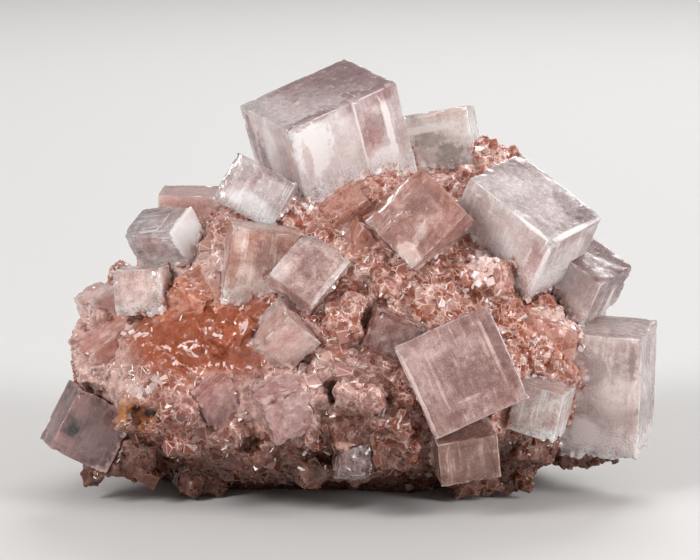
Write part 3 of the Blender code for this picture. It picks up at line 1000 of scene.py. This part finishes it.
crystal(
    "front_crystal_group", "mauve_pink_halite", 20,
    ("front_mauve", ((20.7, -29.2, 28.7), (18.9, 17.0, 18.7), (-13, -24, 3)), dict(
        milk=(0.50, 0.295, 0.27), pink=(0.46, 0.27, 0.25), white=(0.76, 0.58, 0.55), cloudy=0.62,
        frost=(-0.1, -0.3), blush=(0.92, 1.1), streaks=0.3, density=30.0, rim=3.3,
        clouds=[
            ((6.8, -8.5, 1.0), (0.35, 2.0, 6.6), 0.22), ((-4.7, -8.5, 0.0), (0.3, 2.0, 5.4), 0.14),
            ((-8.8, -8.5, -1.0), (0.35, 2.0, 8.0), 0.35), ((-7.0, -8.5, 0.0), (1.5, 2.0, 8.0), 0.12),
            ((-0.5, -8.5, -4.9), (2.2, 2.0, 0.3), 0.16), ((8.3, -8.5, 2.0), (1.2, 2.0, 7.0), -0.2),
            ((-3.0, -8.5, 6.4), (3.4, 2.0, 2.2), 0.15), ((1.5, -8.5, -1.5), (4.0, 2.0, 3.6), -0.12),
        ],
    )),
    ("front_frosted", ((36.1, -22.7, 20.7), (9.6, 9.0, 9.6), (1, 13, -20)), dict(
        milk=(0.72, 0.47, 0.41), pink=(0.80, 0.64, 0.60), cloudy=0.7, frost=(0.3, 0.0),
        blush=(0.7, 0.95), density=26.0, rim=1.4,
    )),
    ("front_low", ((21.3, -27.1, 13.6), (11.5, 10.0, 9.0), (14, -8, 9)), dict(
        milk=(0.38, 0.21, 0.165), pink=(0.36, 0.19, 0.145), white=(0.76, 0.55, 0.49), cloudy=0.5,
        melt=0.1, frost=(0.0, -0.2), blush=(1.0, 1.2), streaks=0.5, density=40.0, rim=1.6,
    )),
)

# ------------------------------------------------------------------ the red-pink crystals
# The cube that stands corner on in the middle, and the two grown together left of it. They are
# clear enough to take the colour of the matrix behind them.

crystal(
    "centre_crystal", "red_pink_halite", 14,
    ("centre_red", ((13.5, -12.6, 54.4), (13.2, 9.5, 14.9), (-26, 39, -31)), dict(
        milk=(0.52, 0.25, 0.20), pink=(0.48, 0.22, 0.17), white=(0.84, 0.60, 0.54), cloudy=0.6,
        melt=0.1, frost=(0.3, 0.05), blush=(0.75, 1.0), streaks=0.12, density=40.0, rim=2.6,
        clouds=[
            ((-5.6, -4.8, 2.0), (1.6, 2.0, 4.5), 0.12), ((-1.5, -4.8, 3.0), (3.5, 2.0, 3.5), -0.15),
            ((4.0, -4.8, -5.8), (3.4, 2.0, 1.8), 0.4),
        ],
    )),
    wear=0.25, chips=0.8,
)
crystal(
    "left_centre_pair", "red_pink_halite", 16,
    ("left_red", ((-16.8, -15.9, 46.5), (14.0, 8.4, 15.2), (4, 9, 9)), dict(
        milk=(0.68, 0.34, 0.26), pink=(0.60, 0.30, 0.24), white=(0.90, 0.73, 0.67), cloudy=0.6,
        melt=0.4, frost=(0.12, -0.1), blush=(0.9, 1.1), streaks=0.5, density=40.0, rim=2.2,
        clouds=[
            ((-5.2, -4.2, 5.4), (1.2, 2.0, 2.6), 0.22), ((-3.3, -4.2, -2.5), (2.4, 2.0, 3.6), 0.2),
            ((0.8, -4.2, 3.0), (2.8, 2.0, 3.6), -0.22),
        ],
    )),
    ("left_pale", ((-8.1, -19.8, 45.0), (10.4, 11.0, 11.8), (-38, 35, -15)), dict(
        milk=(0.64, 0.39, 0.35), pink=(0.58, 0.35, 0.31), white=(0.87, 0.71, 0.68), cloudy=0.65,
        melt=0.4, edge_wear_and_highlight=0.45, frost=(0.2, -0.1), blush=(0.9, 1.1), streaks=0.2,
        density=26.0, rim=1.6,
        clouds=[
            ((4.6, -5.5, 0.5), (0.6, 2.0, 5.6), 0.2), ((0.0, -5.5, 0.8), (2.8, 2.0, 2.8), -0.15),
            ((-4.4, -5.5, -4.0), (2.4, 2.0, 2.4), 0.2),
        ],
    )),
    wear=0.3, chips=0.9,
)

# ------------------------------------------------------------------ the clear crystals on the left
# A thin plate on the shoulder, a cube with one side whitened by a painted highlight, a plain pink
# block behind it, and a frosted small block below.

crystal(
    "shoulder_crystal", "clear_pink_halite", 15,
    ("shoulder", ((-17.9, -6.3, 59.1), (13.3, 4.8, 10.3), (-20, 24, -20)), dict(
        milk=(0.74, 0.60, 0.59), pink=soft_pink, cloudy=0.55, frost=(0.36, 0.1),
        blush=(0.86, 0.98), streaks=0.4, rim=1.7,
        clouds=[
            ((-2.2, -2.4, 2.4), (2.2, 2.0, 1.5), -0.3), ((-5.8, -2.4, 0.0), (1.0, 2.0, 5.0), -0.1),
            ((0.5, -2.4, -2.5), (5.0, 2.0, 1.8), 0.25), ((2.5, -2.4, 4.6), (4.0, 2.0, 0.7), -0.2),
        ],
    )),
)

left_turn = (29, -11, -34)
left_clouds = [
    ((-1.0, -4.2, 1.4), (3.4, 1.5, 2.6), -0.15), ((-2.5, 1.0, 4.3), (5.0, 4.0, 1.0), -0.1),
    ((1.0, -4.2, -3.0), (4.0, 1.5, 1.6), 0.3),
]
# the left cube's right side is painted near white as a painted highlight, and the whiter white given to
# left_clear brightens it further
painted_lit_side = ((5.4, 0.0, 1.0), (1.2, 6.0, 6.0), 0.9)
left_looks = dict(
    milk=soft_white, pink=(0.76, 0.56, 0.53), cloudy=0.5, frost=(0.3, 0.0), blush=(0.72, 0.92),
    streaks=0.6, streak=0, rim=1.8,
)
crystal(
    "left_crystal", "clear_pink_halite", 12,
    ("left_clear", ((-34.8, -4.9, 49.8), (10.9, 8.4, 8.6), left_turn), dict(
        left_looks, white=(1.0, 0.96, 0.95), clouds=[painted_lit_side] + left_clouds,
    )),
    ("left_end", ((-37.0, -2.6, 50.2), (8.4, 8.6, 8.0), left_turn), dict(
        left_looks, clouds=shifted(left_clouds, 2.0, 0.0, 0.0),
    )),
)
crystal(
    "left_back_crystal", "mauve_pink_halite", 17,
    ("left_pink", ((-30.6, 9.4, 51.6), (13.6, 11.0, 11.4), (3, 1, -3)), dict(
        milk=(0.66, 0.38, 0.335), pink=(0.64, 0.35, 0.30), white=(0.82, 0.55, 0.50), cloudy=0.75,
        frost=(0.1, -0.2), blush=(0.9, 1.1), streaks=0.2, density=40.0,
    )),
)
crystal(
    "left_low_crystal", "milky_pink_halite", 18,
    ("left_frosted", ((-39.3, -11.4, 41.0), (9.7, 8.0, 9.0), (-4, -6, -14)), dict(
        milk=(0.74, 0.48, 0.43), pink=(0.70, 0.44, 0.39), white=(0.90, 0.70, 0.66), cloudy=0.7,
        melt=0.5, frost=(0.4, 0.0), blush=(0.8, 1.1), rim=1.6,
    )),
    wear=0.3, chips=1.0,
)

# ------------------------------------------------------------------ the foot crystal
# The clear mauve cube at the far left foot, with a round inclusion under its front face, whose
# darkness is painted shade, with a painted glint in its middle.

crystal(
    "foot_crystal", "mauve_pink_halite", 21,
    ("foot_mauve", ((-50.2, -15.2, 15.1), (12.6, 9.0, 12.8), (-1, 29, 18)), dict(
        milk=(0.16, 0.08, 0.076), pink=(0.20, 0.11, 0.105), white=(0.34, 0.205, 0.195),
        window_shade=(0.03, 0.02, 0.02), cloudy=0.8, frost=(0.1, -0.1), blush=(0.9, 1.1),
        density=30.0, rim=1.8,
        clouds=[
            # the second cloud darkens the inclusion with painted shade, and the third is a painted
            # glint in it
            ((-3.8, -4.5, -1.2), (2.4, 1.5, 2.4), -0.3), ((-3.8, -4.5, -1.2), (1.2, 1.5, 1.3), -0.9),
            ((-3.6, -4.5, -1.0), (0.5, 1.0, 0.5), 0.9), ((-4.6, -4.5, -3.6), (2.2, 1.5, 1.0), 0.35),
            ((-5.0, -4.5, 4.0), (2.0, 1.5, 2.0), 0.1),
        ],
    )),
)

# ------------------------------------------------------------------ the small cubes of the mound
# Cubes of 6 to 12 mm that grew out of the mound, pale or lavender on the front and orange in the
# middle. They are clearer than the grains round them, worn, and sugary at their feet.

orange_milk, upper_milk = (0.68, 0.19, 0.08), (0.50, 0.155, 0.085)
cube_milks = {
    "pale_small_cube": (0.76, 0.45, 0.39),
    "pink_small_cube": (0.48, 0.17, 0.14),
    "lavender_small_cube": (0.50, 0.24, 0.215),
    "dark_small_cube": (0.25, 0.06, 0.035),
    # the low cube's milk is darkened as painted shade: it sits low on the front, where shade falls
    "low_small_cube": (0.10, 0.02, 0.01),
    "left_ledge_cube": (0.72, 0.31, 0.245),
    "left_top_cube": (0.72, 0.42, 0.38),
    "left_end_cube": (0.66, 0.34, 0.29),
    "upper_orange_cube": upper_milk,
    "upper_small_cube": upper_milk,
    "right_orange_cube": upper_milk,
}
cube_white = (0.97, 0.87, 0.85)


def small_cube_finish(name, block):
    """All its colours come from its milk. Where it sits in the orange, it is sugary and less pale."""
    milk = cube_milks.get(name, orange_milk)
    warm = "orange" in name or "upper" in name
    paler = 0.22 if warm else 0.35
    return crystal_finish(
        name, block, milk, milk, cloudy=0.7, frost=(-0.1, -0.3), blush=(1.1, 1.3), streaks=0.1,
        rim=1.2, density=30.0, melt=0.15 if warm else -0.3, edge_wear_and_highlight=0.9,
        sugar=[part * 0.8 for part in milk], window_shade=[part * 0.4 for part in milk],
        tint=[0.4 + 0.6 * part for part in milk],
        white=[part + (full - part) * paler for part, full in zip(milk, cube_white)],
    )


first_cube_seed = 40
for seed, (name, block) in enumerate(small_cubes.items(), first_cube_seed):
    finish = small_cube_finish(name, block)
    grown(name, "matrix_halite", [block], [finish], seed, wear=0.4, chips=1.1)

# ------------------------------------------------------------------ the chips at the crystals' feet
# Frosted chips stand where the crystals leave the matrix, on all but the mauve foot crystal. They
# are broken off the crystals' feet and grown fast again, so no crystal ends in a clean line.


def chip_finish(name, dark, bright):
    finish = Finish(name)
    colour = finish.mix(dark, bright, finish.ramp(finish.each_grain(), 0.2, 1.0))
    return finish.done(finish.skin(
        Base_Color=colour, Roughness=0.12, Coat_Weight=0.6, Coat_Roughness=0.04,
    ))


deepest_foot_chip = -0.4


def foot_places(places):
    """Chips grow only within a ragged band along the matrix."""
    shares = []
    for place in places:
        away = outside(matrix_skin, Vector(place)) / mm
        band = 1.1 + 1.8 * noise.noise(Vector(place) / (3.0 * mm))
        shares.append(1.0 if deepest_foot_chip < away < band else 0.0)
    return np.array(shares)


def ground_of(pieces):
    """The points and triangles of several pieces, as one ground to sow on."""
    return joined([mesh_arrays(piece.data) for piece in pieces])


upper_pieces = [piece for piece in large_pieces if piece.name != "foot_crystal_grown"]
chip_sizes, chip_sink = (0.3 * mm, 1.3 * mm), 0.25
chips = strewn(
    ground_of(upper_pieces), 5000, chip_sizes, chip_sink, False, foot_places, 31, keep_off=False
)
sown_piece("foot_chips", chips, chip_finish("frosted_chip", (0.60, 0.32, 0.26), (0.93, 0.80, 0.77)))

# where white crusts stand, under the two turned cubes and at the crown's foot: each a middle and a
# reach in millimetres
crusts = [
    ((25.0, -13.0, 45.6), (3.4, 8.0, 5.6)), ((40.7, -10.0, 34.7), (6.0, 9.0, 3.0)),
    ((10.9, -3.0, 62.5), (2.8, 6.0, 3.6)), ((-9.5, -4.0, 56.6), (4.0, 6.0, 2.0)),
]


def crust_places(places):
    """Thickest in the middle of each crust, and torn at its edge."""
    inside = np.max([within(places, *crust) for crust in crusts], axis=0)
    for k in np.flatnonzero(inside):
        if inside[k] + noise.noise(Vector(places[k]) / (1.6 * mm)) * 0.5 < 0.2:
            inside[k] = 0.0
    return inside


crust_sizes = (0.4 * mm, 1.6 * mm)
white = strewn(
    ground_of(large_pieces + [matrix]), 900, crust_sizes, chip_sink, False, crust_places, 33,
    keep_off=False,
)
sown_piece("white_crusts", white, chip_finish("white_crust", (0.84, 0.56, 0.50), (1.0, 0.88, 0.85)))

# ------------------------------------------------------------------ the cleavage flakes
# Thin white flakes stand out of the mound where grains have split along their cleavage. They are
# flat, ragged and bright, their white partly a painted highlight, and the longest ones run in broken
# lines.


def flake_finish():
    finish = Finish("cleavage_flake")
    # their white is partly their own and partly a painted highlight of glinting cleavage faces
    colour = finish.mix((0.76, 0.50, 0.43), (0.96, 0.87, 0.85), finish.each_grain())
    return finish.done(finish.skin(
        Base_Color=colour, Roughness=0.1, Coat_Weight=0.8, Coat_Roughness=0.04,
        Normal=finish.bump(finish.noise(0.6), 0.4, 0.2),
    ))


# each flake's place across and up the front, its length and its width in millimetres, and its
# slant in degrees
placed_flakes = [
    ((-42.4, 34.0), 2.6, 2.2, 70), ((-40.8, 33.4), 2.2, 1.4, 20), ((-39.0, 33.6), 2.0, 0.7, 10),
    ((-24.6, 35.6), 2.0, 0.7, -30), ((-32.1, 38.2), 3.0, 0.5, 85), ((-38.6, 24.2), 4.2, 2.4, 45),
    ((-36.2, 26.4), 4.2, 2.0, 42), ((-2.4, 52.6), 2.6, 0.8, -40), ((0.0, 52.0), 3.0, 0.9, 5),
    ((2.2, 53.2), 2.4, 0.8, 40), ((-45.5, 12.0), 3.0, 0.8, 70), ((-44.2, 9.8), 2.4, 0.6, 60),
    ((-20.6, 15.4), 2.4, 0.6, 80), ((6.0, 22.0), 2.4, 0.6, 60), ((9.2, 21.0), 2.8, 0.5, 75),
    ((-8.0, 13.4), 2.6, 0.6, 50), ((-4.2, 12.2), 2.2, 0.5, -30), ((4.2, 38.8), 3.6, 0.7, -75),
    ((22.0, 42.0), 3.4, 1.1, 60), ((33.0, 36.6), 3.4, 0.8, 30), ((35.6, 37.4), 2.4, 0.8, 5),
    ((-20.0, 40.2), 3.0, 0.7, 65),
]


scattered_flakes, shard_spacing, shard_thickness = 120, 0.7, 0.3
shard_room, shard_lift = 0.2 * mm, 0.05 * mm


def shard(place, long, wide, slant, chance):
    """One shard where a line from the front meets the matrix: its corners and triangles."""
    start = Vector((place[0] * mm, -80 * mm, place[1] * mm))
    spot, normal, _, _ = matrix_skin.ray_cast(start, Vector((0, 1, 0)))
    if spot is None or clearance(spot) < shard_room:
        return []
    shape, triangles, _ = grain_shape(chance, False)
    size = np.array([long, shard_thickness, wide]) * mm
    spread = ((-35, 10), (-slant - 20, 20 - slant), (-25, 25))
    lean = [math.radians(chance.uniform(*span)) for span in spread]
    turn = np.array(Euler(lean, "YXZ").to_matrix())
    return [((shape * size) @ turn.T + np.array(spot + normal * shard_lift), triangles)]


def flake(place, long, wide, slant, chance):
    """A broken line of shards along a slant, ragged at its sides."""
    made = []
    how_many = max(1, round(long / shard_spacing))
    run, rise = math.cos(math.radians(slant)), math.sin(math.radians(slant))
    for k in range(how_many):
        step = ((k + 0.5) / how_many - 0.5) * long + chance.uniform(-0.3, 0.3)
        aside = chance.uniform(-0.35, 0.35) * wide
        spot = (place[0] + run * step - rise * aside, place[1] + rise * step + run * aside)
        length, width = chance.uniform(0.6, 1.5), wide * chance.uniform(0.3, 0.9)
        made += shard(spot, length, width, slant, chance)
    return made


def flakes_piece():
    chance = random.Random(77)
    spans = ((-50, 46), (8, 56), (0.5, 1.6), (0.3, 0.7), (-90, 90))
    scattered = []
    for _ in range(scattered_flakes):
        across, up, *others = [chance.uniform(*span) for span in spans]
        scattered.append(((across, up), *others))
    shards = []
    for place, long, wide, slant in placed_flakes + scattered:
        shards += flake(place, long, wide, slant, chance)
    mesh = plain_mesh("cleavage_flakes", *joined(shards))
    held(as_piece("cleavage_flakes", mesh, flake_finish()))


flakes_piece()

# ------------------------------------------------------------------ floor, lights and camera
# The cluster stands on a plain pale floor that sweeps up behind it, in soft light from three large
# lamps: one high on the left, one on the right and one high behind it.


def swept_floor():
    """A floor that runs level under the cluster and curves up into a wall far behind it."""
    half_width, front, back, radius, top, steps = 3.0, -1.6, 1.3, 0.7, 3.0, 24
    profile = [(front, 0.0)]
    for k in range(steps + 1):
        angle = math.radians(90 * k / steps)
        profile.append((back + radius * math.sin(angle), radius - radius * math.cos(angle)))
    profile.append((back + radius, top))
    points = [(x, y, z) for y, z in profile for x in (-half_width, half_width)]
    faces = [(2 * k, 2 * k + 1, 2 * k + 3, 2 * k + 2) for k in range(len(profile) - 1)]
    mesh = plain_mesh("swept_floor", points, faces)
    mesh.shade_smooth()
    finish = Finish("pale_floor")
    paper = finish.skin(Base_Color=(0.72, 0.71, 0.70), Roughness=0.8, IOR=1.5)
    as_piece("swept_floor", mesh, finish.done(paper))


def soft_lamp(name, place, size, power):
    """A large lamp aimed at the middle of the cluster; its sides in metres, its power in watts."""
    lamp = bpy.data.lights.new(name, "AREA")
    lamp.shape = "RECTANGLE"
    lamp.size, lamp.size_y = size
    lamp.energy = power
    holder = bpy.data.objects.new(name, lamp)
    holder.location = place
    holder.rotation_euler = (middle - Vector(place)).to_track_quat("-Z", "Y").to_euler()
    bpy.context.scene.collection.objects.link(holder)


swept_floor()

# the middle of the cluster, in metres, at which the lamps and the camera are aimed
middle = Vector((-0.0001, 0.0003, 0.041))
soft_lamp("high_left", (-1.0, -0.9, 0.9), (0.5, 0.5), 14.4)
soft_lamp("right_side", (1.2, -0.7, 0.6), (0.5, 0.7), 14.6)
soft_lamp("behind", (0.3, 1.0, 1.0), (0.8, 0.5), 9.0)

world = bpy.data.worlds.new("studio")
bpy.context.scene.world = world
world.use_nodes = True
sky = world.node_tree.nodes["Background"].inputs
sky["Color"].default_value = (0.95, 0.92, 0.91, 1.0)
sky["Strength"].default_value = 0.33

view_distance = 0.56875
view_height = math.radians(10.0)
camera_data = bpy.data.cameras.new("camera")
camera_data.sensor_width = 36.0
camera_data.lens = 150.0
camera = bpy.data.objects.new("camera", camera_data)
back_to_camera = Vector((0.0, -math.cos(view_height), math.sin(view_height)))
camera.location = middle + back_to_camera * view_distance
camera.rotation_euler = (-back_to_camera).to_track_quat("-Z", "Y").to_euler()
camera_data.clip_start = 0.01
bpy.context.scene.collection.objects.link(camera)
bpy.context.scene.camera = camera

cycles = bpy.context.scene.cycles
cycles.max_bounces = 4
cycles.transmission_bounces = 4
cycles.glossy_bounces = 2
cycles.diffuse_bounces = 2
cycles.transparent_max_bounces = 4
bpy.context.scene.view_settings.view_transform = "Standard"
